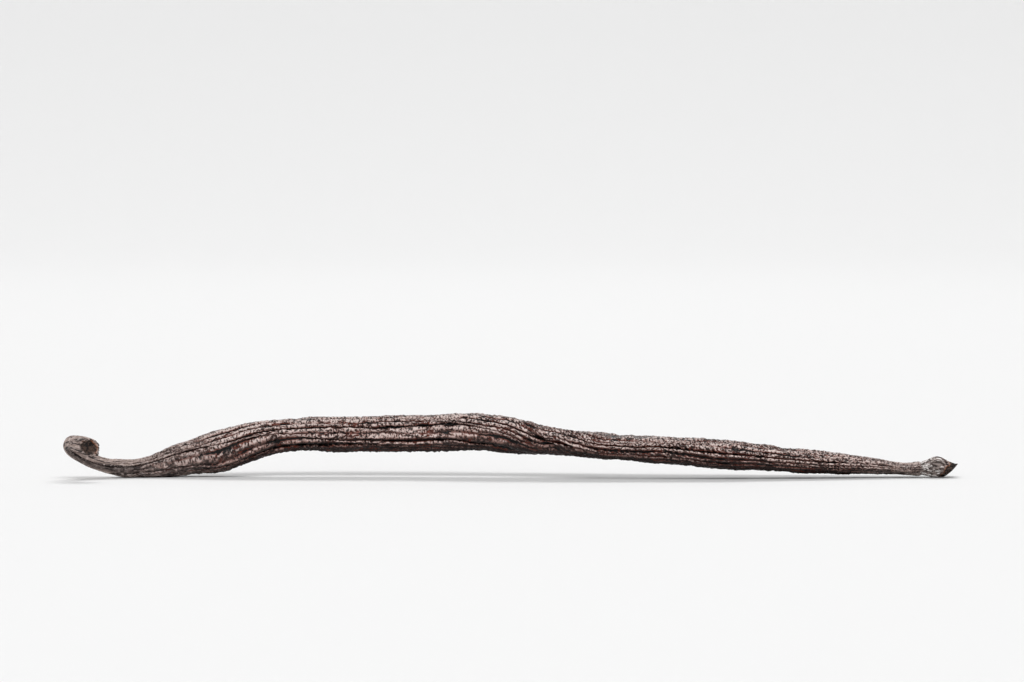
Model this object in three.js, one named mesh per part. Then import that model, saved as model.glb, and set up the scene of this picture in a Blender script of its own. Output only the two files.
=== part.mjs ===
// A cured vanilla pod, lying on a flat surface. Millimetres, +X along the pod from its curled
// stem end to its blossom end, +Z up, with the origin under the middle of its box.
//
// The pod is one solid. It starts as a straight spindle turned on a lathe, whose skin is then
// shrunk to a flattened, ribbed section, turned about its own length and bent along a centreline.
import * as THREE from "three";

// The centreline: out of the torn end, round the curl, down under the stem, over a low arch and
// down to the blossom scar.
const CENTRELINE = [
  [-79.3, -6.8, 6.4],
  [-81.0, -6.3, 6.9],
  [-82.6, -5.4, 7.1],
  [-83.35, -4.2, 6.6],
  [-83.0, -3.2, 5.6],
  [-81.8, -2.75, 4.7],
  [-80.2, -2.4, 3.8],
  [-78.3, -2.0, 2.95],
  [-76.0, -1.6, 2.2],
  [-72.3, -0.9, 1.7],
  [-68.0, -0.1, 1.95],
  [-62.5, 0.6, 3.2],
  [-55.0, 1.3, 4.75],
  [-46.5, 1.9, 7.2],
  [-39.0, 2.2, 8.0],
  [-28.0, 2.2, 8.0],
  [-15.0, 1.6, 8.25],
  [-4.3, 0.8, 8.5],
  [8.0, -0.3, 7.25],
  [22.0, -1.5, 6.0],
  [41.0, -2.2, 4.7],
  [58.0, -1.5, 3.3],
  [72.0, -0.7, 2.2],
  [78.5, -0.4, 1.6],
  [82.5, -0.4, 1.8],
  [86.8, -0.3, 1.4],
];

// Across the pod is level along its body, and square to the curl's own plane along its curl.
const BODY_SIDE = [0, 1, 0];
const CURL_SIDE = [0.36, 0.8, 0.47];
const CURL_ENDS = 9;
const BODY_STARTS = 24;

// Section sizes, each a run of [distance along the centreline, value].
const WIDE_AXIS = [
  [0, 3.5], [5, 2.5], [12.5, 2.8], [19, 3.5], [29, 6.0], [37, 8.0], [51, 6.3], [75, 6.9], [88, 6.9],
  [104, 7.7], [130, 7.3], [150, 5.9], [169, 3.8], [173.7, 4.0], [176.4, 4.9], [178.8, 3.4],
];
const THIN_AXIS = [
  [0, 3.2], [5, 2.4], [19, 3.0], [29, 4.0], [40, 4.8], [62, 5.0], [97, 5.4], [104, 4.9], [113, 4.5],
  [123, 5.0], [133, 5.4], [148, 4.3], [157.5, 3.9], [163.5, 3.0], [169.5, 2.2], [173.5, 2.7],
  [176.4, 3.9], [178.8, 2.7],
];
// How far the wide axis is turned up from level: on edge along the stem half, then twisted flat.
const TURN_DEGREES = [[0, 90], [45, 86], [78, 88], [90, 112], [101, 160], [112, 184], [150, 188], [172, 182]];
// How square the section is: 2 is an ellipse, less is a lozenge, more a rounded box.
const SQUARENESS = [[0, 2], [40, 2.3], [120, 2.3], [160, 2], [173.5, 1.8], [176.4, 1.35]];

// The ribs: rounded crests between sharp grooves that wander, deepen and fade along the pod.
const RIBS = 17;
const GROOVE_DEPTH = 0.28;
const GROOVE_VARIES = 0.22;
const CREST_HEIGHT = 0.2;
const CREST_VARIES = 0.16;
const CREST_ROUNDNESS = 0.7;
const RIB_WANDER = 0.13;
// How much of that relief each stretch of the pod has.
const RELIEF = [[0, 0.2], [12, 0.3], [25, 0.6], [40, 1], [150, 1], [164, 0.6], [173, 0.35]];
// Single grooves that sank in deeper as the pod dried.
const SUNKEN_FOLDS = [
  { groove: 3, middle: 15, halfLength: 10, depth: 0.5 },
  { groove: 6, middle: 48, halfLength: 16, depth: 0.5 },
  { groove: 3, middle: 58, halfLength: 24, depth: 0.6 },
  { groove: 5, middle: 78, halfLength: 24, depth: 0.55 },
  { groove: 12, middle: 60, halfLength: 26, depth: 0.6 },
  { groove: 14, middle: 112, halfLength: 26, depth: 0.6 },
  { groove: 1, middle: 118, halfLength: 24, depth: 0.6 },
  { groove: 16, middle: 132, halfLength: 26, depth: 0.55 },
  { groove: 9, middle: 130, halfLength: 26, depth: 0.6 },
];
// Short dents across the ribs: where the twist creased the skin, and two small nips on top. Each
// sits at a distance and an angle round the section, and leans along the pod as it goes round.
const DENTS = [
  { distance: 99.8, width: 1.3, degrees: 25, spread: 48, lean: 0.08, depth: 0.9 },
  { distance: 113, width: 1.6, degrees: 266, spread: 40, lean: -0.03, depth: 0.45 },
  { distance: 146.8, width: 1.9, degrees: 262, spread: 40, lean: 0.03, depth: 0.4 },
];
// The whole section swells and narrows a little, and its three carpels make it three-sided.
const LUMP_SHARE = 0.045;
const CARPELS = 3;
const CARPEL_SHARE = 0.05;
const CARPEL_START = 0.8;

// Each end is cut on a slant, in millimetres along per millimetre off the axis: the torn stem
// faces out of its curl, and the blossom scar faces down. The slant is gone by its reach.
const STEM_SLANT = { side: -0.8, up: -0.6, reach: 5 };
const TIP_SLANT = { side: 0.1, up: 0.85, reach: 3.5 };
// Both cut faces are shallow dishes inside a rim: [reach from the axis, depth].
const DISH = [[0, 0.35], [0.45, 0.5], [0.8, 0.12]];

// Slow waves that add up to a repeatable wobble, and the keys that tell its users apart.
const WOBBLE_WAVES = [
  { share: 0.5, rate: 0.11, keyStep: 2.4, start: 0 },
  { share: 0.32, rate: 0.23, keyStep: 4.1, start: 1.3 },
  { share: 0.18, rate: 0.47, keyStep: 7.7, start: 2.1 },
];
const WOBBLE = {
  crest: { key: 20, pace: 1.3 },
  lump: { key: 50, pace: 2.1 },
  turn: { key: 31, pace: 0.7 },
  shear: { key: 1.8, pace: 1 },
};

// The mesh: columns run along the ribs, and rings sit closer where the pod bends, twists or ends.
const COLUMNS = 3 * RIBS;
const RING_STEPS = [
  { until: 16, step: 0.9 },
  { until: 31, step: 1.7 },
  { until: 94, step: 2.7 },
  { until: 106, step: 1.1 },
  { until: 164, step: 2.5 },
  { until: 178.4, step: 0.8 },
];
const LENGTH_STEPS = 800;
const SKIN_RGB = 0x35231d;

const { clamp, degToRad, euclideanModulo, lerp, radToDeg, smoothstep } = THREE.MathUtils;

// A smooth value from a run of [distance, value] pairs.
function along(run, distance) {
  const next = run.findIndex(([at]) => at > distance);
  if (next === 0) return run[0][1];
  if (next < 0) return run[run.length - 1][1];
  const [from, a] = run[next - 1];
  const [to, b] = run[next];
  return lerp(a, b, smoothstep(distance, from, to));
}

// A wobble between -1 and 1 that differs for each key.
function wobble(distance, key) {
  return WOBBLE_WAVES.reduce(
    (sum, { share, rate, keyStep, start }) => sum + share * Math.sin(distance * rate + key * keyStep + start),
    0,
  );
}

// How deep one groove is of itself at one place along the pod.
function grooveDepth(groove, distance) {
  return GROOVE_DEPTH + GROOVE_VARIES * wobble(distance, groove);
}

// How much deeper one groove has sunk there.
function foldDepth(groove, distance) {
  return SUNKEN_FOLDS.filter((fold) => fold.groove === groove).reduce(
    (sum, fold) => sum + fold.depth * Math.exp(-(((distance - fold.middle) / fold.halfLength) ** 2)),
    0,
  );
}

// How deep the dents are at one place.
function dentDepth(distance, angle) {
  return DENTS.reduce((sum, dent) => {
    const round = euclideanModulo(radToDeg(angle) - dent.degrees + 180, 360) - 180;
    const on = distance - dent.distance - dent.lean * round;
    return sum + dent.depth * Math.exp(-((on / dent.width) ** 2) - (round / dent.spread) ** 2);
  }, 0);
}

// How far the skin stands out of its plain section at one place.
function relief(distance, angle) {
  const cell = (angle / (2 * Math.PI)) * RIBS;
  const rib = Math.floor(cell) % RIBS;
  const next = (rib + 1) % RIBS;
  const across = cell - Math.floor(cell);
  const { key, pace } = WOBBLE.crest;
  const crest = CREST_HEIGHT + CREST_VARIES * wobble(distance * pace, rib + key);
  const roundness = Math.sin(Math.PI * across) ** CREST_ROUNDNESS;
  const share = smoothstep(across, 0, 1);
  const groove = lerp(grooveDepth(rib, distance), grooveDepth(next, distance), share);
  const fold = lerp(foldDepth(rib, distance), foldDepth(next, distance), share);
  const plain = along(RELIEF, distance) * (crest * roundness - groove * (1 - roundness));
  return plain - fold * (1 - roundness) - dentDepth(distance, angle);
}

// A power that keeps the sign, for the section's squareness.
function signedPower(value, power) {
  return Math.sign(value) * Math.abs(value) ** power;
}

// The section at one place: how far the skin is from the axis, to the side and up.
function sectionPoint(distance, angle) {
  const { lump, turn, shear } = WOBBLE;
  const swell = LUMP_SHARE * wobble(distance * lump.pace, lump.key);
  const size = 1 + swell + CARPEL_SHARE * Math.cos(CARPELS * angle + CARPEL_START);
  const wide = (along(WIDE_AXIS, distance) / 2) * size;
  const thin = (along(THIN_AXIS, distance) / 2) * size;

  const whole = wobble(distance * turn.pace, turn.key);
  const local = wobble(distance * shear.pace, shear.key * Math.cos(angle));
  const wandered = angle + RIB_WANDER * (whole + local);
  const power = 2 / along(SQUARENESS, distance);
  const cos = Math.cos(wandered);
  const sin = Math.sin(wandered);
  const outward = new THREE.Vector2(cos / wide, sin / thin).setLength(relief(distance, angle));
  return new THREE.Vector2(wide * signedPower(cos, power), thin * signedPower(sin, power))
    .add(outward)
    .rotateAround(new THREE.Vector2(), degToRad(along(TURN_DEGREES, distance)));
}

const curve = new THREE.CatmullRomCurve3(CENTRELINE.map((p) => new THREE.Vector3(...p)));
curve.arcLengthDivisions = LENGTH_STEPS;
const podLength = curve.getLength();
const bodySide = new THREE.Vector3(...BODY_SIDE);
const curlSide = new THREE.Vector3(...CURL_SIDE);

// A point of the pod: its distance along, angle round, and reach from the axis (0) to the skin (1).
function podPoint(distance, angle, reach) {
  const offset = sectionPoint(distance, angle).multiplyScalar(reach);
  const stemShare = 1 - smoothstep(distance, 0, STEM_SLANT.reach);
  const tipShare = smoothstep(distance, podLength - TIP_SLANT.reach, podLength);
  const slanted =
    distance +
    stemShare * (STEM_SLANT.side * offset.x + STEM_SLANT.up * offset.y) +
    tipShare * (TIP_SLANT.side * offset.x + TIP_SLANT.up * offset.y);

  // Past either end of the centreline the pod runs straight on.
  const on = clamp(slanted, 0, podLength);
  const heading = curve.getTangentAt(on / podLength);
  const across = curlSide.clone().lerp(bodySide, smoothstep(on, CURL_ENDS, BODY_STARTS));
  const side = across.projectOnPlane(heading).normalize();
  const up = new THREE.Vector3().crossVectors(heading, side);
  const point = curve
    .getPointAt(on / podLength)
    .addScaledVector(heading, slanted - on)
    .addScaledVector(side, offset.x)
    .addScaledVector(up, offset.y);
  // What would reach below the surface it lies on is pressed flat.
  point.z = Math.max(point.z, 0);
  return point;
}

// Where each ring sits: how far along and how far out from the axis.
function ringPlaces() {
  const rings = DISH.map(([reach, depth]) => ({ distance: depth, reach }));
  let distance = 0;
  for (const { until, step } of RING_STEPS)
    for (; distance < until; distance += step) rings.push({ distance, reach: 1 });
  rings.push({ distance: podLength, reach: 1 });
  for (const [reach, depth] of DISH.toReversed()) rings.push({ distance: podLength - depth, reach });
  return rings;
}

// The straight spindle, then every vertex moved to its place on the pod.
function podGeometry() {
  const rings = ringPlaces();
  const profile = rings.map(({ distance, reach }) => new THREE.Vector2(reach, distance));
  const geometry = new THREE.LatheGeometry(profile, COLUMNS);
  geometry.deleteAttribute("normal");
  geometry.deleteAttribute("uv");
  const position = geometry.getAttribute("position");
  for (let column = 0; column <= COLUMNS; column++)
    rings.forEach(({ distance, reach }, ring) => {
      const angle = ((column % COLUMNS) / COLUMNS) * 2 * Math.PI;
      const point = podPoint(distance, angle, reach);
      position.setXYZ(column * rings.length + ring, point.x, point.y, point.z);
    });
  geometry.computeBoundingBox();
  const middle = geometry.boundingBox.getCenter(new THREE.Vector3());
  return geometry.translate(-middle.x, -middle.y, 0);
}

const skin = new THREE.MeshStandardMaterial({ color: SKIN_RGB, roughness: 0.5, metalness: 0 });
const pod = new THREE.Mesh(podGeometry(), skin);
pod.name = "pod";

const part = new THREE.Group();
part.add(pod);
export default part;
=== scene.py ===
"""A cured vanilla pod on a white studio sweep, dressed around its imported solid.

The solid is the whole pod, so one piece of skin replaces it. The skin runs along the same
centreline with the same sections, ribs, folds and dents, and adds what the solid leaves out: fine
wrinkles, puckers, grains, the ragged torn stem, the blossom's scar and the finish of a cured pod.
The pod's sizes are in millimetres until its mesh is written, and the studio's are in metres.
"""

from __future__ import annotations

import logging
import math
from bisect import bisect_right
from dataclasses import dataclass, field
from enum import Enum
from typing import Any

import bmesh
import bpy
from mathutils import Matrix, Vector, noise
from mathutils.geometry import interpolate_bezier

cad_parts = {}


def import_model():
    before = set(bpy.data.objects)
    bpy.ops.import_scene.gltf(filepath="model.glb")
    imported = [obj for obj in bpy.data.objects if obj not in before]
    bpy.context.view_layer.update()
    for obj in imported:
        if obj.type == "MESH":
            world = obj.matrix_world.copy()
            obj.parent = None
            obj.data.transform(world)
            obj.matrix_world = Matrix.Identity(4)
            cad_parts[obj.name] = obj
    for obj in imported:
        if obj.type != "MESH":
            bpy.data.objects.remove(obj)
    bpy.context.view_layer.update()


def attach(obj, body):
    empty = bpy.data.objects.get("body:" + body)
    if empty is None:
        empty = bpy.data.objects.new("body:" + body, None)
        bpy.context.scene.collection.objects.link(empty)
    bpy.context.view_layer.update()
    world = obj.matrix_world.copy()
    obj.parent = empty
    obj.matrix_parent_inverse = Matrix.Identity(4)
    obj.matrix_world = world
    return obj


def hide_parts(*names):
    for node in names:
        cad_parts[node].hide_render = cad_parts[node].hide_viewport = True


LOG = logging.getLogger("vanilla_pod")
MM = 0.001
Pair = tuple[float, float]
Pairs = tuple[Pair, ...]
Triple = tuple[float, float, float]
RingVerts = list[tuple[bmesh.types.BMVert, int]]


class Spot(Enum):
    """The vertex attributes that the skin's finish reads."""

    STRAIGHT = "straight"
    HOLLOW = "hollow"
    RAISED = "raised"
    LEVEL = "level"
    DRYNESS = "dryness"
    SCAR = "scar"
    CUT = "cut"


# ---------------------------------------------------------------------------
# The pod's form
# ---------------------------------------------------------------------------


def smooth_share(value: float, low: float, high: float) -> float:
    """Ease a value into a share.

    Args:
        value: The value to place.
        low: Where the share is 0.
        high: Where the share is 1.

    Returns:
        The eased share, from 0 to 1.
    """
    share = min(max((value - low) / (high - low), 0.0), 1.0)
    return share * share * (3.0 - 2.0 * share)


def mix(low: float, high: float, share: float) -> float:
    """Return the value a share of the way from low to high."""
    return low + (high - low) * share


def bell(offset: float) -> float:
    """Return a smooth bump of height 1 that fades to nothing about 2 away."""
    return math.exp(-offset * offset)


def degrees_apart(angle: float, degrees: float) -> float:
    """Return how far an angle in radians lies from one in degrees, from -180 to 180."""
    return (math.degrees(angle) - degrees + 180) % 360 - 180


@dataclass(frozen=True)
class Run:
    """A smooth value along the pod, from pairs of distance and value."""

    pairs: Pairs

    def at(self, distance: float) -> float:
        """Read the value at one place.

        Args:
            distance: How far along the pod.

        Returns:
            The value there, level past either end.
        """
        after = bisect_right(self.pairs, distance, key=lambda pair: pair[0])
        if after == 0:
            return self.pairs[0][1]
        if after == len(self.pairs):
            return self.pairs[-1][1]
        (start, low), (stop, high) = self.pairs[after - 1], self.pairs[after]
        return mix(low, high, smooth_share(distance, start, stop))


# Slow waves that add up to a wobble: (share, rate, key step, start).
WOBBLE_WAVES = ((0.5, 0.11, 2.4, 0.0), (0.32, 0.23, 4.1, 1.3), (0.18, 0.47, 7.7, 2.1))
# The keys of the pod's wobbles. The grooves count up from 0, and the crests from their own key.
CREST_KEY = 20
WANDER_KEY = 31
LUMP_KEY = 50


def wobble(distance: float, key: float) -> float:
    """Waver repeatably between -1 and 1.

    Args:
        distance: How far along the pod.
        key: What tells one wobble from another.

    Returns:
        The wobble there.
    """
    return sum(
        share * math.sin(distance * rate + key * step + start)
        for share, rate, step, start in WOBBLE_WAVES
    )


@dataclass
class Centreline:
    """The line down the middle of the pod, with the frame of the section at each place.

    Across the pod is level along its body, and square to the curl's own plane along its curl.
    """

    points: tuple[Triple, ...]
    body_side: Vector
    curl_side: Vector
    curl_ends: float
    body_starts: float
    steps: int = 200
    at: list[float] = field(default_factory=list, init=False)
    line: list[Vector] = field(default_factory=list, init=False)

    def __post_init__(self) -> None:
        """Lay a centripetal spline through the points and measure along it."""
        knots = [Vector(p) for p in self.points]
        knots = [2 * knots[0] - knots[1], *knots, 2 * knots[-1] - knots[-2]]
        for before, start, stop, after in zip(knots, knots[1:], knots[2:], knots[3:]):
            spans = ((before, start), (start, stop), (stop, after))
            near, gap, far = (math.sqrt((b - a).length) for a, b in spans)
            leave = (start - before) / near - (stop - before) / (near + gap) + (stop - start) / gap
            reach = (stop - start) / gap - (after - start) / (gap + far) + (after - stop) / far
            handles = (start + leave * gap / 3, stop - reach * gap / 3)
            span = interpolate_bezier(start, *handles, stop, self.steps)
            self.line.extend(span if not self.line else span[1:])
        self.at = [0.0]
        for a, b in zip(self.line, self.line[1:]):
            self.at.append(self.at[-1] + (b - a).length)

    @property
    def length(self) -> float:
        """Return the whole length along the line."""
        return self.at[-1]

    def station(self, distance: float) -> tuple[Vector, Vector, Vector]:
        """Find the line's point and frame, running straight on past either end.

        Args:
            distance: How far along the line.

        Returns:
            The point, and the unit vectors across the pod to the side and up.
        """
        after = min(max(bisect_right(self.at, distance), 1), len(self.at) - 1)
        start, stop = self.line[after - 1], self.line[after]
        heading = (stop - start).normalized()
        body_share = smooth_share(distance, self.curl_ends, self.body_starts)
        across = self.curl_side.lerp(self.body_side, body_share)
        side = (across - heading * across.dot(heading)).normalized()
        return start + heading * (distance - self.at[after - 1]), side, heading.cross(side)


@dataclass(frozen=True)
class Fold:
    """A single groove that sank in deeper as the pod dried."""

    groove: int
    middle: float
    half_length: float
    depth: float


@dataclass(frozen=True)
class Patch:
    """A soft-edged patch of the skin, such as a dent, which leans along the pod as it goes round."""

    distance: float
    width: float
    degrees: float
    spread: float
    lean: float
    amount: float

    def at(self, distance: float, angle: float) -> float:
        """Read the patch at one place.

        Args:
            distance: How far along the pod.
            angle: The angle round the axis.

        Returns:
            How much of the patch's amount there is.
        """
        round_ = degrees_apart(angle, self.degrees)
        on = distance - self.distance - self.lean * round_
        return self.amount * bell(on / self.width) * bell(round_ / self.spread)


@dataclass(frozen=True)
class Ruffle:
    """A patch of close wrinkles that run slantwise across the ribs."""

    distance: float
    reach: float
    degrees: float
    spread: float
    pitch: float
    lean: float
    height: float

    def at(self, distance: float, angle: float) -> float:
        """Read the wrinkles at one place.

        Args:
            distance: How far along the pod.
            angle: The angle round the axis.

        Returns:
            How high they stand.
        """
        round_ = degrees_apart(angle, self.degrees)
        on = distance - self.distance
        share = bell(on / self.reach) * bell(round_ / self.spread)
        return self.height * share * math.sin(2 * math.pi * (on - self.lean * round_) / self.pitch)


@dataclass(frozen=True)
class Slant:
    """A cut face's slant: how far along for each millimetre off the axis, gone by its reach."""

    side: float
    up: float
    reach: float


@dataclass(frozen=True)
class Wrinkles:
    """The fine relief: long valleys, shorter creases, slanting puckers and small grains."""

    valley_pitch: float = 1.0
    valley_depth: float = 0.2
    crease_pitch: float = 0.52
    crease_depth: float = 0.1
    valley_width: float = 0.4
    valley_sharpness: float = 1.5
    stretch: float = 8.0
    warp_pitch: float = 3.2
    warp: float = 0.5
    warp_offsets: tuple[Triple, ...] = ((4.7, 13.1, 9.6), (10.2, 5.3, 0.8), (2.9, 7.7, 16.4))
    pucker_pitch: float = 1.15
    pucker_height: float = 0.09
    pucker_slope: float = 2.2
    pucker_drift: float = 4.4
    drift_pitch: float = 2.4
    drift_offset: Triple = (5.0, 3.0, 9.0)
    pucker_patch_pitch: float = 5.5
    pucker_patch_offset: Triple = (11.0, 2.0, 4.0)
    pucker_patch_edge: Pair = (-0.35, 0.25)
    grain_length: float = 0.85
    grain_width: float = 0.5
    grain_height: float = 0.13
    grain_rim: float = 0.45
    grain_middle: float = 0.6
    zigzag_pitch: float = 1.1
    zigzag_squeeze: float = 1.6
    zigzag: float = 0.14
    # How the finish reads the relief: its range and middle, the grains' edges and the hollows.
    height: float = 0.3
    middle: float = 0.08
    grain_edge: float = 0.32
    hollow_below: float = 0.16

    def valley(self, place: Vector, pitch: float) -> float:
        """Find how deep in a wandering valley a place lies.

        Args:
            place: The place on the straightened pod.
            pitch: The valleys' spacing round the pod.

        Returns:
            0 on the rounded crests to 1 in a valley's bottom.
        """
        wave = noise.noise(Vector((place.x, place.y, place.z / self.stretch)) / pitch)
        return (1.0 - min(abs(wave) / self.valley_width, 1.0)) ** self.valley_sharpness

    def warped(self, place: Vector) -> Vector:
        """Move a place a little, so that the valleys wander, fork and join.

        Args:
            place: The place on the straightened pod.

        Returns:
            The moved place.
        """
        x, y, z = (
            noise.noise(place / self.warp_pitch + Vector(offset)) for offset in self.warp_offsets
        )
        return place + Vector((x, y, z * self.stretch)) * self.warp

    def puckers(self, place: Vector, across: float, rib: int) -> float:
        """Find the height of the small puckers that cross each rib on a slope.

        Args:
            place: The place on the straightened pod.
            across: How far across its rib the place is, from 0 to 1.
            rib: The rib's number. Every third rib slopes the other way.

        Returns:
            The height, from -1 to 1.
        """
        lean = self.pucker_slope * (across - 0.5) * (1 if rib % 3 else -1)
        drift = noise.noise(place / self.drift_pitch + Vector(self.drift_offset))
        patch = noise.noise(place / self.pucker_patch_pitch + Vector(self.pucker_patch_offset))
        phase = 2 * math.pi * (place.z + lean) / self.pucker_pitch + self.pucker_drift * drift
        return smooth_share(patch, *self.pucker_patch_edge) * math.sin(phase)

    def grains(self, place: Vector) -> float:
        """Find how far a place stands up on its grain.

        Args:
            place: The place on the straightened pod.

        Returns:
            1 in the grain's middle to 0 at its edge.
        """
        x, y = place.x / self.grain_width, place.y / self.grain_width
        near = noise.voronoi(Vector((x, y, place.z / self.grain_length)))[0]
        return min((near[1] - near[0]) / self.grain_rim, 1.0)

    def sideways(self, place: Vector) -> float:
        """Find how far the skin is shoved round the pod, which makes the grooves zigzag.

        Args:
            place: The place on the straightened pod.

        Returns:
            The shove, in millimetres.
        """
        squeezed = Vector((place.x, place.y, place.z * self.zigzag_squeeze))
        return self.zigzag * noise.noise(squeezed / self.zigzag_pitch)


@dataclass(frozen=True)
class PodForm:
    """The sizes of the pod, the same as its solid's, and then its skin's own relief."""

    centreline: tuple[Triple, ...] = (
        (-79.3, -6.8, 6.4), (-81.0, -6.3, 6.9), (-82.6, -5.4, 7.1), (-83.35, -4.2, 6.6),
        (-83.0, -3.2, 5.6), (-81.8, -2.75, 4.7), (-80.2, -2.4, 3.8), (-78.3, -2.0, 2.95),
        (-76.0, -1.6, 2.2), (-72.3, -0.9, 1.7), (-68.0, -0.1, 1.95), (-62.5, 0.6, 3.2),
        (-55.0, 1.3, 4.75), (-46.5, 1.9, 7.2), (-39.0, 2.2, 8.0), (-28.0, 2.2, 8.0),
        (-15.0, 1.6, 8.25), (-4.3, 0.8, 8.5), (8.0, -0.3, 7.25), (22.0, -1.5, 6.0),
        (41.0, -2.2, 4.7), (58.0, -1.5, 3.3), (72.0, -0.7, 2.2), (78.5, -0.4, 1.6),
        (82.5, -0.4, 1.8), (86.8, -0.3, 1.4),
    )
    body_side: Triple = (0, 1, 0)
    curl_side: Triple = (0.36, 0.8, 0.47)
    curl_ends: float = 9
    body_starts: float = 24
    wide_axis: Run = Run((
        (0, 3.5), (5, 2.5), (12.5, 2.8), (19, 3.5), (29, 6.0), (37, 8.0), (51, 6.3), (75, 6.9),
        (88, 6.9), (104, 7.7), (130, 7.3), (150, 5.9), (169, 3.8), (173.7, 4.0), (176.4, 4.9),
        (178.8, 3.4),
    ))
    thin_axis: Run = Run((
        (0, 3.2), (5, 2.4), (19, 3.0), (29, 4.0), (40, 4.8), (62, 5.0), (97, 5.4), (104, 4.9),
        (113, 4.5), (123, 5.0), (133, 5.4), (148, 4.3), (157.5, 3.9), (163.5, 3.0), (169.5, 2.2),
        (173.5, 2.7), (176.4, 3.9), (178.8, 2.7),
    ))
    turn_degrees: Run = Run((
        (0, 90), (45, 86), (78, 88), (90, 112), (101, 160), (112, 184), (150, 188), (172, 182),
    ))
    squareness: Run = Run(((0, 2), (40, 2.3), (120, 2.3), (160, 2), (173.5, 1.8), (176.4, 1.35)))
    ribs: int = 17
    groove_depth: float = 0.28
    groove_varies: float = 0.22
    crest_height: float = 0.2
    crest_varies: float = 0.16
    crest_rate: float = 1.3
    crest_roundness: float = 0.7
    rib_wander: float = 0.13
    wander_rate: float = 0.7
    wander_round: float = 1.8
    relief: Run = Run(((0, 0.2), (12, 0.3), (25, 0.6), (40, 1), (150, 1), (164, 0.6), (173, 0.35)))
    folds: tuple[Fold, ...] = (
        Fold(3, 15, 10, 0.5), Fold(6, 48, 16, 0.5), Fold(3, 58, 24, 0.6), Fold(5, 78, 24, 0.55),
        Fold(12, 60, 26, 0.6), Fold(14, 112, 26, 0.6), Fold(1, 118, 24, 0.6),
        Fold(16, 132, 26, 0.55), Fold(9, 130, 26, 0.6),
    )
    dents: tuple[Patch, ...] = (
        Patch(99.8, 1.3, 25, 48, 0.08, 0.9), Patch(113, 1.6, 266, 40, -0.03, 0.45),
        Patch(146.8, 1.9, 262, 40, 0.03, 0.4),
    )
    lump_share: float = 0.045
    lump_rate: float = 2.1
    carpels: int = 3
    carpel_share: float = 0.05
    carpel_start: float = 0.8
    stem_slant: Slant = Slant(side=-0.8, up=-0.6, reach=5)
    tip_slant: Slant = Slant(side=0.1, up=0.85, reach=3.5)
    dish: Run = Run(((0, 0.35), (0.45, 0.5), (0.8, 0.12), (1, 0)))
    dish_rings: int = 13
    # The torn face: how high and how fine its ragged relief is, the level at which its noise is
    # cut, how the relief grows from the axis out, and how far along the pod it fades.
    ragged: float = 0.45
    ragged_pitch: float = 0.45
    ragged_level: float = 7.0
    ragged_reach: Pair = (0.1, 0.6)
    torn_depth: float = 1.2
    wrinkles: Wrinkles = Wrinkles()
    ruffles: tuple[Ruffle, ...] = (
        Ruffle(83, 6, 10, 50, 1.3, -0.1, 0.07), Ruffle(38, 8, 85, 40, 1.3, -0.1, 0.08),
        Ruffle(104, 6, 350, 60, 1.3, 0.09, 0.09), Ruffle(64, 7, 240, 60, 1.4, 0.09, 0.1),
        Ruffle(124, 8, 170, 60, 1.3, -0.09, 0.09),
    )
    wrinkling: Run = Run((
        (0, 0.2), (14, 0.25), (28, 0.75), (45, 1), (150, 1), (165, 0.75), (172, 0.6),
    ))
    least_radius: float = 0.5
    # The groove deep enough to paint black as shade, and how dark a dent of 1 mm is painted.
    black_groove: float = 0.4
    dent_darkness: float = 0.6
    worn: Run = Run(((24, 0), (38, 0.12), (76, 0.14), (96, 0.12), (125, 0.04), (155, 0.04)))
    # Darker (above 0) or paler (below 0) skin; the last patch, up on the body, is a painted
    # highlight.
    shades: tuple[Patch, ...] = (
        Patch(10, 9, 82, 22, 0, 0.5), Patch(9, 8, 150, 14, 0, -0.45),
        Patch(57, 26, 42, 42, 0, -0.22),
    )
    dryness: Run = Run(((0, 1), (14, 0.95), (26, 0.5), (42, 0), (158, 0), (168, 0.4), (172, 0.6)))
    scar: Run = Run(((172.6, 0), (173.4, 1), (176.4, 1), (177.2, 0)))
    scar_peak: Patch = Patch(175.7, 1.2, 270, 62, 0, 0.45)
    scar_rim: float = 173.2
    scar_rim_width: float = 0.35
    scar_rim_depth: float = 0.22
    # Where the dark cap face starts and is whole along the pod, and how its edge wavers.
    cap_face: Pair = (177.9, 177.3)
    cap_waver: float = 0.55
    cap_waver_pitch: float = 0.9
    # Where the torn face turns to skin, as a share of the way out from the axis.
    cut_edge: Pair = (0.65, 0.97)
    ring_step: Run = Run((
        (0, 0.15), (12, 0.18), (24, 0.26), (158, 0.27), (168, 0.2), (177, 0.15),
    ))

    def line(self) -> Centreline:
        """Lay the centreline."""
        sides = (Vector(self.body_side), Vector(self.curl_side))
        return Centreline(self.centreline, *sides, self.curl_ends, self.body_starts)


@dataclass(frozen=True)
class SkinPoint:
    """One point of the skin: where it is, and how hollow and how raised it is, from 0 to 1.

    Its offset is from the axis to the side and up, and its place is on the straightened pod.
    """

    offset: Vector
    place: Vector
    hollow: float
    raised: float


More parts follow.
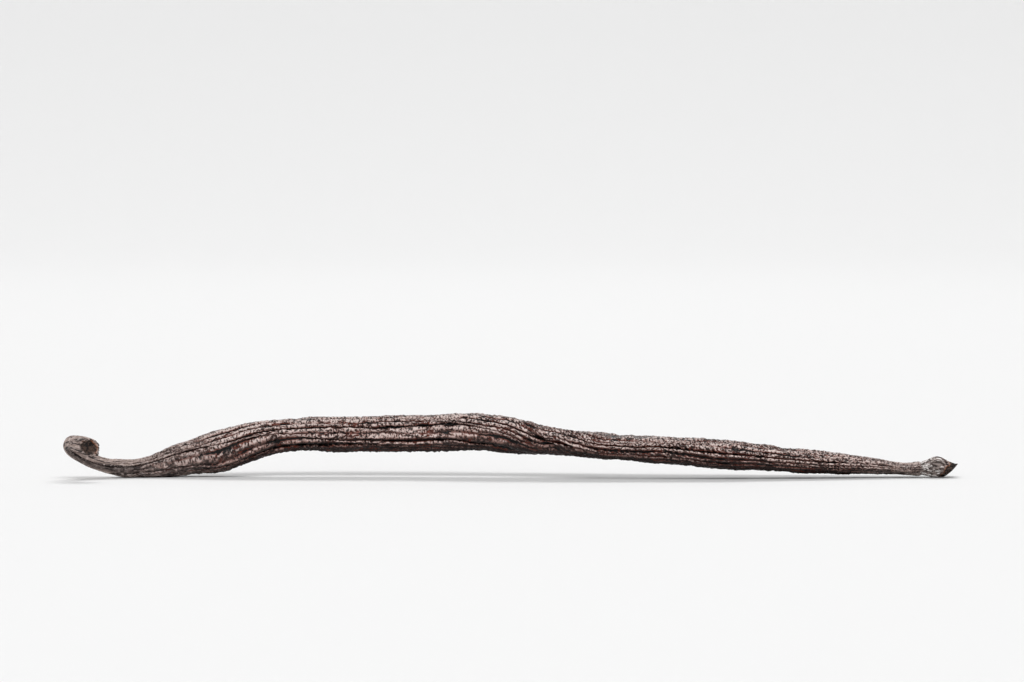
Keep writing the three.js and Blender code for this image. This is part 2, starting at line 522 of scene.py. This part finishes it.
@dataclass
class Ring:
    """One section of the pod, holding what is the same all the way round it."""

    form: PodForm
    distance: float
    swell: float = field(init=False)
    wide: float = field(init=False)
    thin: float = field(init=False)
    radius: float = field(init=False)
    power: float = field(init=False)
    turn: Pair = field(init=False)
    relief: float = field(init=False)
    wrinkling: float = field(init=False)
    wander: float = field(init=False)
    grooves: list[float] = field(init=False)
    sunk: list[float] = field(init=False)
    crests: list[float] = field(init=False)

    def __post_init__(self) -> None:
        """Read the form's runs and wobbles once for the whole ring."""
        form, distance, ribs = self.form, self.distance, range(self.form.ribs)
        self.swell = 1 + form.lump_share * wobble(distance * form.lump_rate, LUMP_KEY)
        self.wide = form.wide_axis.at(distance) / 2
        self.thin = form.thin_axis.at(distance) / 2
        self.radius = math.sqrt(self.wide * self.thin)
        self.power = 2 / form.squareness.at(distance)
        turn = math.radians(form.turn_degrees.at(distance))
        self.turn = (math.cos(turn), math.sin(turn))
        self.relief = form.relief.at(distance)
        self.wrinkling = form.wrinkling.at(distance)
        self.wander = wobble(distance * form.wander_rate, WANDER_KEY)
        self.grooves = [form.groove_depth + form.groove_varies * wobble(distance, k) for k in ribs]
        self.sunk = [self.fold(k) for k in ribs]
        crest_waves = [wobble(distance * form.crest_rate, k + CREST_KEY) for k in ribs]
        self.crests = [form.crest_height + form.crest_varies * wave for wave in crest_waves]

    def fold(self, groove: int) -> float:
        """Find how much deeper one groove has sunk in this section.

        Args:
            groove: The groove's number.

        Returns:
            The extra depth.
        """
        folds = (fold for fold in self.form.folds if fold.groove == groove)
        return sum(
            fold.depth * bell((self.distance - fold.middle) / fold.half_length) for fold in folds
        )

    def dent(self, angle: float) -> float:
        """Find how deep the dents and the scar's rim are, less the scar's peak.

        Args:
            angle: The angle round the axis.

        Returns:
            The depth.
        """
        form = self.form
        dent = sum(dent.at(self.distance, angle) for dent in form.dents)
        dent += form.scar_rim_depth * bell((self.distance - form.scar_rim) / form.scar_rim_width)
        return dent - form.scar_peak.at(self.distance, angle)

    def fine_relief(self, place: Vector, angle: float, rib: int, across: float) -> Pair:
        """Find the fine relief at one place.

        Args:
            place: The place on the straightened pod.
            angle: The angle round the axis.
            rib: The rib's number.
            across: How far across the rib the place is, from 0 to 1.

        Returns:
            How high it stands, and how far up on its grain the place is.
        """
        wrinkles = self.form.wrinkles
        warped = wrinkles.warped(place)
        grain = wrinkles.grains(warped)
        ruffle = sum(ruffle.at(self.distance, angle) for ruffle in self.form.ruffles)
        fine = wrinkles.pucker_height * wrinkles.puckers(place, across, rib) + ruffle
        fine += wrinkles.grain_height * (grain - wrinkles.grain_middle)
        valley = wrinkles.valley_depth * wrinkles.valley(warped, wrinkles.valley_pitch)
        fine -= valley + wrinkles.crease_depth * wrinkles.valley(warped, wrinkles.crease_pitch)
        return fine * self.wrinkling, grain

    def offset(self, place: Vector, angle: float, stand: float) -> Vector:
        """Find one point's offset from the axis.

        Args:
            place: The place on the straightened pod.
            angle: The angle round the axis.
            stand: How far the skin stands out from the plain section.

        Returns:
            The offset to the side and up.
        """
        form = self.form
        size = self.swell + form.carpel_share * math.cos(form.carpels * angle + form.carpel_start)
        wide, thin = self.wide * size, self.thin * size
        wave = wobble(self.distance, form.wander_round * math.cos(angle))
        wandered = angle + form.rib_wander * (self.wander + wave)
        shove = self.wrinkling * form.wrinkles.sideways(place)
        wandered += shove / max(self.radius, form.least_radius)
        cos, sin = math.cos(wandered), math.sin(wandered)
        outward = Vector((cos / wide, sin / thin)).normalized() * stand
        x = wide * math.copysign(abs(cos) ** self.power, cos) + outward.x
        y = thin * math.copysign(abs(sin) ** self.power, sin) + outward.y
        turn_cos, turn_sin = self.turn
        return Vector((x * turn_cos - y * turn_sin, x * turn_sin + y * turn_cos))

    def skin(self, angle: float) -> SkinPoint:
        """Find the skin at one angle round the section.

        Args:
            angle: The angle round the axis.

        Returns:
            The point.
        """
        form, wrinkles = self.form, self.form.wrinkles
        place = Vector((self.radius * math.cos(angle), self.radius * math.sin(angle), self.distance))
        cell = angle / (2 * math.pi) * form.ribs
        rib = int(cell) % form.ribs
        following = (rib + 1) % form.ribs
        across = cell - math.floor(cell)
        share = smooth_share(across, 0, 1)
        roundness = math.sin(math.pi * across) ** form.crest_roundness if across else 0.0
        groove = self.relief * mix(self.grooves[rib], self.grooves[following], share)
        groove += mix(self.sunk[rib], self.sunk[following], share)
        dent = self.dent(angle)
        fine, grain = self.fine_relief(place, angle, rib, across)
        stand = self.relief * self.crests[rib] * roundness - groove * (1 - roundness) - dent
        stand += fine

        # How hollow the skin is, which the finish paints dark as shade in grooves, creases and
        # dents.
        hollow = (1 - roundness) * min(groove / form.black_groove, 1.0) + form.dent_darkness * dent
        hollow += max(-fine - wrinkles.hollow_below, 0.0) / wrinkles.height
        raised = 0.5 + (fine + wrinkles.middle) / wrinkles.height + form.worn.at(self.distance)
        raised += self.wrinkling * wrinkles.grain_edge * (grain - wrinkles.grain_middle)
        raised -= sum(patch.at(self.distance, angle) for patch in form.shades)
        return SkinPoint(
            offset=self.offset(place, angle, stand),
            place=place,
            hollow=min(max(hollow, 0.0), 1.0),
            raised=min(max(raised, 0.0), 1.0),
        )


@dataclass
class PodSkin:
    """The whole pod's skin: a sphere stretched along the centreline and wrinkled."""

    form: PodForm = field(default_factory=PodForm)
    name: str = "pod_skin"
    columns_per_rib: int = 8
    rings: int = 730
    samples_per_ring: int = 20

    def build(self) -> bpy.types.Object:
        """Build the skin's mesh.

        Returns:
            The piece, with its place in its mesh and its attributes on its vertices.
        """
        line = self.form.line()
        columns = self.form.ribs * self.columns_per_rib
        bm = bmesh.new()
        layers = {spot: self.layer(bm, spot) for spot in Spot}
        bmesh.ops.create_uvsphere(bm, u_segments=columns, v_segments=self.rings, radius=1.0)
        sorted_rings = self.sort_rings(bm, columns)
        for verts, (distance, reach) in zip(sorted_rings, self.ring_places(line.length)):
            ring = Ring(self.form, distance)
            for vert, column in verts:
                point = ring.skin(2 * math.pi * column / columns)
                vert.co = self.placed(line, distance, point, reach)
                self.mark(vert, layers, distance, point, reach)
            self.mark_level(verts, layers[Spot.LEVEL])
        self.centre(bm)
        bmesh.ops.scale(bm, verts=bm.verts, vec=Vector((MM, MM, MM)))
        bmesh.ops.recalc_face_normals(bm, faces=bm.faces)
        for face in bm.faces:
            face.smooth = True
        return new_piece(self.name, bm)

    @staticmethod
    def layer(bm: bmesh.types.BMesh, spot: Spot) -> Any:
        """Add the vertex layer that one attribute is kept in."""
        layers = bm.verts.layers.float_vector if spot is Spot.STRAIGHT else bm.verts.layers.float
        return layers.new(spot.value)

    def sort_rings(self, bm: bmesh.types.BMesh, columns: int) -> list[RingVerts]:
        """Sort a unit sphere's vertices into its rings.

        Args:
            bm: The sphere.
            columns: How many vertices go round it.

        Returns:
            Each ring's vertices with their columns, from the top pole down.
        """
        rings: list[RingVerts] = [[] for _ in range(self.rings + 1)]
        for vert in bm.verts:
            down = math.atan2(math.hypot(vert.co.x, vert.co.y), vert.co.z)
            round_ = math.atan2(vert.co.y, vert.co.x)
            column = round(round_ / (2 * math.pi) * columns) % columns
            rings[round(down / math.pi * self.rings)].append((vert, column))
        return rings

    def ring_places(self, length: float) -> list[Pair]:
        """Spread the rings over both cut faces and along the skin.

        Args:
            length: The centreline's length.

        Returns:
            Each ring's distance along and its reach, from the axis (0) to the skin (1).
        """
        form = self.form
        reaches = [k / form.dish_rings for k in range(form.dish_rings)]
        stem = [(form.dish.at(reach), reach) for reach in reaches]
        tip = [(length - form.dish.at(reach), reach) for reach in reversed(reaches)]
        count = self.rings + 1 - len(stem) - len(tip)
        samples = self.samples_per_ring * count
        span = length / samples
        gone = [0.0]
        for k in range(samples):
            gone.append(gone[-1] + span / form.ring_step.at(span * (k + 0.5)))
        places = []
        for ring in range(count):
            want = gone[-1] * ring / (count - 1)
            after = min(max(bisect_right(gone, want), 1), len(gone) - 1)
            share = (want - gone[after - 1]) / (gone[after] - gone[after - 1])
            places.append((span * (after - 1 + share), 1.0))
        return [*stem, *places, *tip]

    def placed(self, line: Centreline, distance: float, point: SkinPoint, reach: float) -> Vector:
        """Place one point of the pod.

        Args:
            line: The pod's centreline.
            distance: How far along the pod the point's ring is.
            point: The skin at the point's angle.
            reach: How far out from the axis the point is, from 0 to 1.

        Returns:
            The point, pressed flat where it would reach below the table.
        """
        form = self.form
        offset = point.offset * reach
        stem = 1 - smooth_share(distance, 0, form.stem_slant.reach)
        tip = smooth_share(distance, line.length - form.tip_slant.reach, line.length)
        slanted = distance
        slanted += stem * (form.stem_slant.side * offset.x + form.stem_slant.up * offset.y)
        slanted += tip * (form.tip_slant.side * offset.x + form.tip_slant.up * offset.y)
        torn = 1 - smooth_share(distance, 0, form.torn_depth)
        if torn:
            face = Vector((point.place.x * reach, point.place.y * reach, form.ragged_level))
            rough = noise.noise(face / form.ragged_pitch)
            slanted += form.ragged * torn * rough * smooth_share(reach, *form.ragged_reach)
        centre, side, up = line.station(slanted)
        placed = centre + side * offset.x + up * offset.y
        placed.z = max(placed.z, 0.0)
        return placed

    def mark(
        self,
        vert: bmesh.types.BMVert,
        layers: dict[Spot, Any],
        distance: float,
        point: SkinPoint,
        reach: float,
    ) -> None:
        """Write one vertex's attributes, apart from its level.

        Args:
            vert: The vertex.
            layers: The layer of each attribute.
            distance: How far along the pod the vertex's ring is.
            point: The skin at the vertex's angle.
            reach: How far out from the axis the vertex is, from 0 to 1.
        """
        form, place = self.form, point.place
        edge = distance + form.cap_waver * noise.noise(place / form.cap_waver_pitch)
        cut = 1 - smooth_share(reach, *form.cut_edge) * smooth_share(edge, *form.cap_face)
        for spot, value in (
            (Spot.STRAIGHT, Vector((place.x * reach, place.y * reach, place.z))),
            (Spot.HOLLOW, point.hollow * (1 - cut)),
            (Spot.RAISED, point.raised),
            (Spot.DRYNESS, form.dryness.at(distance)),
            (Spot.SCAR, form.scar.at(distance)),
            (Spot.CUT, cut),
        ):
            vert[layers[spot]] = value

    @staticmethod
    def mark_level(verts: RingVerts, layer: Any) -> None:
        """Write how high each vertex of a ring is in it, from 0 at its bottom to 1 at its top.

        Args:
            verts: The ring's vertices.
            layer: The layer of the level.
        """
        heights = [vert.co.z for vert, _ in verts]
        low, high = min(heights), max(heights)
        for vert, _ in verts:
            vert[layer] = (vert.co.z - low) / (high - low) if high > low else 0.5

    @staticmethod
    def centre(bm: bmesh.types.BMesh) -> None:
        """Move a mesh level, so that the middle of its box is over the origin.

        Args:
            bm: The mesh.
        """
        low = [min(vert.co[axis] for vert in bm.verts) for axis in range(2)]
        high = [max(vert.co[axis] for vert in bm.verts) for axis in range(2)]
        middle = Vector(((low[0] + high[0]) / 2, (low[1] + high[1]) / 2, 0))
        bmesh.ops.translate(bm, verts=bm.verts, vec=-middle)


# ---------------------------------------------------------------------------
# Finishes
# ---------------------------------------------------------------------------


def linear(hex_code: str) -> tuple[float, float, float, float]:
    """Turn an sRGB hex colour to linear.

    Args:
        hex_code: The colour, as six hex digits after a hash.

    Returns:
        Linear red, green and blue, and an alpha of 1.
    """
    values = [int(hex_code[k : k + 2], 16) / 255 for k in (1, 3, 5)]
    red, green, blue = (
        value / 12.92 if value <= 0.04045 else ((value + 0.055) / 1.055) ** 2.4 for value in values
    )
    return red, green, blue, 1.0


def add_node(
    tree: bpy.types.NodeTree,
    kind: str,
    inputs: dict[str | int, Any],
    out: str | int = 0,
    **settings: Any,
) -> bpy.types.NodeSocket:
    """Add a shader node with its settings and inputs.

    Args:
        tree: The material's node tree.
        kind: The node's type, without the words that every type starts with.
        inputs: Each input by name or number, as a value or as the output to link.
        out: Which output is wanted.
        settings: The node's own settings by name.

    Returns:
        The wanted output.
    """
    node = tree.nodes.new(f"ShaderNode{kind}")
    for name, value in settings.items():
        setattr(node, name, value)
    for name, value in inputs.items():
        if isinstance(value, bpy.types.NodeSocket):
            tree.links.new(value, node.inputs[name])
        else:
            node.inputs[name].default_value = value
    return node.outputs[out]


# The Mix node's colour inputs and output, which share their names with its other kinds.
FACTOR, FIRST, SECOND, BLEND = 0, 6, 7, 2


@dataclass(frozen=True)
class CuredSkin:
    """Cured vanilla pod skin: sweated, dried and oily, near-black brown, greyer at both ends.

    The raised grains have dried to a powdery pinkish grey, shown where they face up as a painted
    highlight, with painted glints on them. The flanks of the grooves show red-brown, and as painted
    shade their bottoms are near black and the underside, low places and pores darker. The pod's
    crown is darker than its sides. The oil gives the whole a soft, broken sheen. The stem is drier,
    with dark lines and a darker band along its side.
    The torn face is dark and fibrous with an amber edge, and the blossom's scar pale and speckled.
    """

    name: str = "cured_vanilla_skin"
    # The skin's own near-black brown, also the painted shade on its underside, low places and pores.
    deep: str = "#1c0e0a"
    body: str = "#9a766d"
    # Pale pinkish dust, also used for the painted highlight on upward faces and for the painted
    # glints.
    dust_and_glint: str = "#e8d6d0"
    russet: str = "#6c2b19"
    # Near black, painted as shade in the deepest grooves and dents.
    groove: str = "#060303"
    stem: str = "#a7948c"
    stem_line: str = "#261e1d"
    scar: str = "#8f827d"
    scar_fleck: str = "#f1ebe8"
    scar_spot: str = "#453a36"
    torn: str = "#5f4b41"
    torn_spot: str = "#150e0b"
    torn_rim: str = "#a05c2a"
    # Real streaks and grains are 0.1 to 0.3 mm wide and pores finer still, which is too fine to
    # show, so all three are drawn as coarse as they need to be. Mottles are a few mm across.
    streak_mm: float = 0.42
    grain_mm: float = 0.42
    pore_mm: float = 0.36
    mottle_mm: float = 4.5
    # How many times longer than wide the streaks and the grains are, along the pod.
    stretch: float = 14.0
    grain_stretch: float = 2.2
    texture_roughness: float = 0.6
    # Oiled skin's roughness where it is most and least oily, and how much rougher dry skin is.
    roughness: Pair = (0.24, 0.42)
    dry_roughness: float = 0.2
    specular: float = 0.26
    # What facing up counts beside the level, and the grain texture beside the raised relief.
    facing_share: float = 0.5
    grain_share: float = 0.8
    # The bump's height, and the pores' and the streaks' shares of it beside the grains' 1.
    bump_mm: float = 0.32
    pore_share: float = 0.5
    streak_share: float = 0.7

    def build(self) -> bpy.types.Material:
        """Build the material's nodes.

        Returns:
            The material.
        """
        material = bpy.data.materials.new(self.name)
        material.use_nodes = True
        tree = material.node_tree
        shader = tree.nodes["Principled BSDF"]
        shader.inputs["Specular IOR Level"].default_value = self.specular
        found = self.find(tree)
        share = self.share_out(tree, found)
        coats = self.coats(tree, share)
        colour = coats["skin"]
        for laid, coat in (
            (found["dryness"], coats["stem"]),
            (found["scar"], coats["scar"]),
            (share["black"], linear(self.groove)),
            (found["cut"], coats["torn"]),
        ):
            over = {FACTOR: laid, FIRST: colour, SECOND: coat}
            colour = add_node(tree, "Mix", over, BLEND, data_type="RGBA")
        tree.links.new(colour, shader.inputs["Base Color"])

        dry = {0: found["dryness"], 1: self.dry_roughness, 2: share["oily"]}
        roughness = add_node(tree, "Math", dry, operation="MULTIPLY_ADD")
        tree.links.new(roughness, shader.inputs["Roughness"])

        height = found["grain"]
        for texture, part in (("pores", self.pore_share), ("streak", self.streak_share)):
            added = {0: found[texture], 1: part, 2: height}
            height = add_node(tree, "Math", added, operation="MULTIPLY_ADD")
        bump = {"Strength": 1.0, "Distance": self.bump_mm * MM, "Height": height}
        tree.links.new(add_node(tree, "Bump", bump), shader.inputs["Normal"])
        return material

    def find(self, tree: bpy.types.NodeTree) -> dict[str, bpy.types.NodeSocket]:
        """Read the skin's attributes, the way it faces and its noise textures.

        Args:
            tree: The material's node tree.

        Returns:
            Each value's output by name.
        """
        found = {
            spot.value: add_node(tree, "Attribute", {}, "Fac", attribute_name=spot.value)
            for spot in Spot
            if spot is not Spot.STRAIGHT
        }
        # Which way the skin faces and how high it lies in its ring drive painted shade below and
        # painted highlight on top.
        normal = add_node(tree, "NewGeometry", {}, "Normal")
        facing_up = add_node(tree, "SeparateXYZ", {"Vector": normal}, "Z")
        upward = {0: facing_up, 1: self.facing_share, 2: found["level"]}
        found["upward"] = add_node(tree, "Math", upward, operation="MULTIPLY_ADD")
        place = add_node(tree, "Attribute", {}, "Vector", attribute_name=Spot.STRAIGHT.value)
        # Each texture's width in mm, how many times longer it is along the pod, and its detail.
        for texture, size, stretch, detail in (
            ("streak", self.streak_mm, self.stretch, 3.0),
            ("grain", self.grain_mm, self.grain_stretch, 2.0),
            ("mottle", self.mottle_mm, 1.0, 2.0),
            ("pores", self.pore_mm, 1.0, 1.0),
        ):
            scale = (1 / size, 1 / size, 1 / size / stretch)
            pattern = {
                "Vector": add_node(tree, "Mapping", {"Vector": place, "Scale": scale}),
                "Scale": 1.0,
                "Detail": detail,
                "Roughness": self.texture_roughness,
            }
            found[texture] = add_node(tree, "TexNoise", pattern)
        relief = {0: found["grain"], 1: self.grain_share, 2: found["raised"]}
        found["relief"] = add_node(tree, "Math", relief, operation="MULTIPLY_ADD")
        return found

    def share_out(
        self, tree: bpy.types.NodeTree, found: dict[str, bpy.types.NodeSocket]
    ) -> dict[str, bpy.types.NodeSocket]:
        """Turn what the skin is like at a place into each colour's share of it.

        Args:
            tree: The material's node tree.
            found: The attributes and textures by name.

        Returns:
            Each share's output by name.
        """
        share = {}
        # Each share's name, what it reads, from where to where, and the share at each of those.
        for name, source, low, high, to_low, to_high in (
            ("bare", "streak", 0.28, 0.46, 0.0, 1.0),
            # Painted shade: skin that faces down or lies low in its ring is darkened to the deep
            # colour.
            ("below", "upward", -0.1, 0.5, 1.0, 0.0),
            # Painted highlight: only skin that faces up gets the pale dust on its grains and the
            # glints.
            ("lit", "upward", 0.25, 0.7, 0.0, 1.0),
            ("crest", "hollow", 0.22, 0.5, 1.0, 0.0),
            ("grainy", "relief", 0.82, 1.05, 0.0, 1.0),
            # Painted shade in the low places of the relief.
            ("pit_shade", "relief", 0.6, 0.74, 0.85, 0.0),
            # Painted glints: the pores' high points on upward crests take the pale colour.
            ("glint", "pores", 0.54, 0.59, 0.0, 0.75),
            # Painted shade in the pores, where their bump dips.
            ("pore_shade", "pores", 0.42, 0.47, 0.9, 0.0),
            ("crown", "upward", 1.22, 1.48, 0.0, 0.5),
            ("patchy", "mottle", 0.3, 0.6, 0.5, 0.75),
            ("below_crest", "hollow", 0.32, 0.42, 0.0, 1.0),
            ("above_groove", "hollow", 0.48, 0.58, 1.0, 0.0),
            ("reddish", "mottle", 0.42, 0.58, 0.1, 0.8),
            ("lined", "streak", 0.42, 0.56, 0.0, 1.0),
            ("flecked", "grain", 0.5, 0.66, 0.0, 0.6),
            # Painted shade: the stem's low places keep its dark line colour.
            ("proud", "raised", 0.3, 0.62, 0.3, 1.0),
            ("speckled", "grain", 0.46, 0.54, 0.0, 1.0),
            ("whitened", "relief", 0.98, 1.08, 0.0, 0.9),
            # Painted shade: the deepest grooves and dents turn near black.
            ("black", "hollow", 0.5, 0.62, 0.0, 1.0),
            ("fibrous", "grain", 0.44, 0.6, 0.0, 0.75),
            ("inside_edge", "cut", 0.6, 0.95, 1.0, 0.0),
            ("outside_middle", "cut", 0.05, 0.4, 0.0, 1.0),
            ("amber", "mottle", 0.45, 0.6, 0.0, 1.0),
            ("oily", "mottle", 0.35, 0.65, *self.roughness),
        ):
            limits = {"From Min": low, "From Max": high, "To Min": to_low, "To Max": to_high}
            inputs = {"Value": found[source], **limits}
            share[name] = add_node(tree, "MapRange", inputs, interpolation_type="SMOOTHSTEP")
        for name, parts in {
            # Dust on the raised grains, shown only where they face up, is partly a painted
            # highlight.
            "dust_and_highlight": ("grainy", "crest", "lit", "patchy"),
            "glinting": ("glint", "crest", "lit"),
            "flank": ("below_crest", "above_groove", "reddish"),
            "proud_lines": ("lined", "proud"),
            "proud_flecks": ("flecked", "proud"),
            "rim": ("inside_edge", "outside_middle", "amber"),
        }.items():
            share[name] = share[parts[0]]
            for part in parts[1:]:
                both = {0: share[name], 1: share[part]}
                share[name] = add_node(tree, "Math", both, operation="MULTIPLY")
        return share

    def coats(
        self, tree: bpy.types.NodeTree, share: dict[str, bpy.types.NodeSocket]
    ) -> dict[str, bpy.types.NodeSocket]:
        """Lay up the colours of the skin, the stem, the blossom's scar and the torn end.

        Args:
            tree: The material's node tree.
            share: Each share's output by name.

        Returns:
            Each coat's colour by name.
        """
        skin = {
            "bare": self.body,
            "below": self.deep,
            "pit_shade": self.deep,
            "dust_and_highlight": self.dust_and_glint,
            "pore_shade": self.deep,
            "glinting": self.dust_and_glint,
            "flank": self.russet,
            "crown": self.deep,
        }
        coats = {}
        for name, base, layers in (
            ("skin", self.deep, skin),
            ("stem", self.stem_line, {"proud_lines": self.stem, "proud_flecks": self.dust_and_glint}),
            ("scar", self.scar_spot, {"speckled": self.scar, "whitened": self.scar_fleck}),
            ("torn", self.torn_spot, {"fibrous": self.torn, "rim": self.torn_rim}),
        ):
            colour = linear(base)
            for part, over in layers.items():
                inputs = {FACTOR: share[part], FIRST: colour, SECOND: linear(over)}
                colour = add_node(tree, "Mix", inputs, BLEND, data_type="RGBA")
            coats[name] = colour
        return coats


@dataclass(frozen=True)
class SweepPaper:
    """Matt white studio paper: an even, shadow-softening white with no gloss."""

    name: str = "white_sweep_paper"
    white: str = "#e4e4e4"
    roughness: float = 0.9
    specular: float = 0.1

    def build(self) -> bpy.types.Material:
        """Build the material's nodes.

        Returns:
            The material.
        """
        material = bpy.data.materials.new(self.name)
        material.use_nodes = True
        shader = material.node_tree.nodes["Principled BSDF"]
        shader.inputs["Base Color"].default_value = linear(self.white)
        shader.inputs["Roughness"].default_value = self.roughness
        shader.inputs["Specular IOR Level"].default_value = self.specular
        return material


# ---------------------------------------------------------------------------
# The studio
# ---------------------------------------------------------------------------


def new_piece(name: str, bm: bmesh.types.BMesh) -> bpy.types.Object:
    """Turn a bmesh into an object at the origin.

    The operators leave edges and faces in an order that changes from run to run, so they are put
    in the order of their vertices first.

    Args:
        name: The object's name.
        bm: The mesh, in metres, which is freed.

    Returns:
        The new object.
    """
    bm.verts.index_update()
    for parts in (bm.edges, bm.faces):
        in_order = sorted(parts, key=lambda part: sorted(vert.index for vert in part.verts))
        for number, part in enumerate(in_order):
            part.index = number
        parts.sort()
    mesh = bpy.data.meshes.new(name)
    bm.to_mesh(mesh)
    bm.free()
    piece = bpy.data.objects.new(name, mesh)
    bpy.context.scene.collection.objects.link(piece)
    return piece


@dataclass
class Sweep:
    """A round white table whose edge sweeps up into a low wall on every side, in metres."""

    name: str = "studio_sweep"
    flat_radius: float = 1.0
    bend_radius: float = 1.0
    wall_height: float = 1.4
    bends: int = 16
    segments: int = 96
    merge_distance: float = 1e-5
    paper: SweepPaper = field(default_factory=SweepPaper)

    def build(self) -> bpy.types.Object:
        """Spin the sweep's profile round the upright axis.

        Returns:
            The sweep.
        """
        bm = bmesh.new()
        profile = [(0.0, 0.0), (self.flat_radius, 0.0)]
        for k in range(1, self.bends + 1):
            turn = math.pi / 2 * k / self.bends
            out = self.flat_radius + self.bend_radius * math.sin(turn)
            profile.append((out, self.bend_radius * (1 - math.cos(turn))))
        profile.append((self.flat_radius + self.bend_radius, self.wall_height))
        verts = [bm.verts.new((x, 0, z)) for x, z in profile]
        edges = [bm.edges.new(pair) for pair in zip(verts, verts[1:])]
        bmesh.ops.spin(
            bm, geom=[*verts, *edges], cent=(0, 0, 0), axis=(0, 0, 1),
            angle=2 * math.pi, steps=self.segments, use_merge=True,
        )
        bmesh.ops.remove_doubles(bm, verts=bm.verts, dist=self.merge_distance)
        bmesh.ops.recalc_face_normals(bm, faces=bm.faces)
        if sum(face.normal.z * face.calc_area() for face in bm.faces) < 0:
            bmesh.ops.reverse_faces(bm, faces=bm.faces)
        for face in bm.faces:
            face.smooth = True
        sweep = new_piece(self.name, bm)
        sweep.data.materials.append(self.paper.build())
        return sweep


@dataclass(frozen=True)
class SoftLight:
    """A softbox: where it hangs, what it is aimed at, and how big and bright it is, in metres."""

    name: str
    place: Triple
    size: Pair
    watts: float
    aim: Triple = (0.0, 0.0, 0.0)

    def build(self) -> bpy.types.Object:
        """Hang the softbox.

        Returns:
            The lamp, which the camera doesn't see.
        """
        data = bpy.data.lights.new(self.name, "AREA")
        data.shape = "RECTANGLE"
        data.size, data.size_y = self.size
        data.energy = self.watts
        lamp = bpy.data.objects.new(self.name, data)
        lamp.location = self.place
        towards = Vector(self.aim) - Vector(self.place)
        lamp.rotation_euler = towards.to_track_quat("-Z", "Y").to_euler()
        lamp.visible_camera = False
        bpy.context.scene.collection.objects.link(lamp)
        return lamp


@dataclass
class Studio:
    """The sweep, its lights, the air around it and the camera."""

    sweep: Sweep = field(default_factory=Sweep)
    lights: tuple[SoftLight, ...] = (
        SoftLight("overhead_softbox", (0.0, -0.75, 1.45), (1.4, 0.6), 14.5),
        SoftLight("back_softbox", (0.0, 1.1, 1.6), (1.6, 0.5), 20),
    )
    air: str = "#f2f2f2"
    air_strength: float = 0.33
    lens: float = 120.0
    clip: Pair = (0.01, 20)
    distance: float = 0.66
    elevation_degrees: float = 6.0
    aim: Triple = (0.0, 0.0, 0.0265)

    def build(self) -> None:
        """Set up the whole studio."""
        self.sweep.build()
        for light in self.lights:
            light.build()
        scene = bpy.context.scene
        scene.world = bpy.data.worlds.new("studio_air")
        scene.world.use_nodes = True
        background = scene.world.node_tree.nodes["Background"]
        background.inputs["Color"].default_value = linear(self.air)
        background.inputs["Strength"].default_value = self.air_strength
        scene.view_settings.view_transform = "Standard"
        scene.view_settings.look = "None"
        self.place_camera()

    def place_camera(self) -> None:
        """Stand the camera low in front of the pod, aimed above it so that the pod lies low."""
        data = bpy.data.cameras.new("camera")
        data.lens = self.lens
        data.clip_start, data.clip_end = self.clip
        camera = bpy.data.objects.new("camera", data)
        lift = math.radians(self.elevation_degrees)
        camera.location = Vector((0, -math.cos(lift), math.sin(lift))) * self.distance
        towards = Vector(self.aim) - camera.location
        camera.rotation_euler = towards.to_track_quat("-Z", "Y").to_euler()
        bpy.context.scene.collection.objects.link(camera)
        bpy.context.scene.camera = camera


def main() -> None:
    """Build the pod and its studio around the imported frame."""
    logging.basicConfig(level=logging.INFO, format="%(name)s: %(message)s")
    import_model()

    Studio().build()
    LOG.info("studio ready")

    piece = PodSkin().build()
    piece.data.materials.append(CuredSkin().build())
    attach(piece, "root")
    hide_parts("pod")
    LOG.info("%s: %d faces", piece.name, len(piece.data.polygons))


if __name__ == "__main__":
    main()
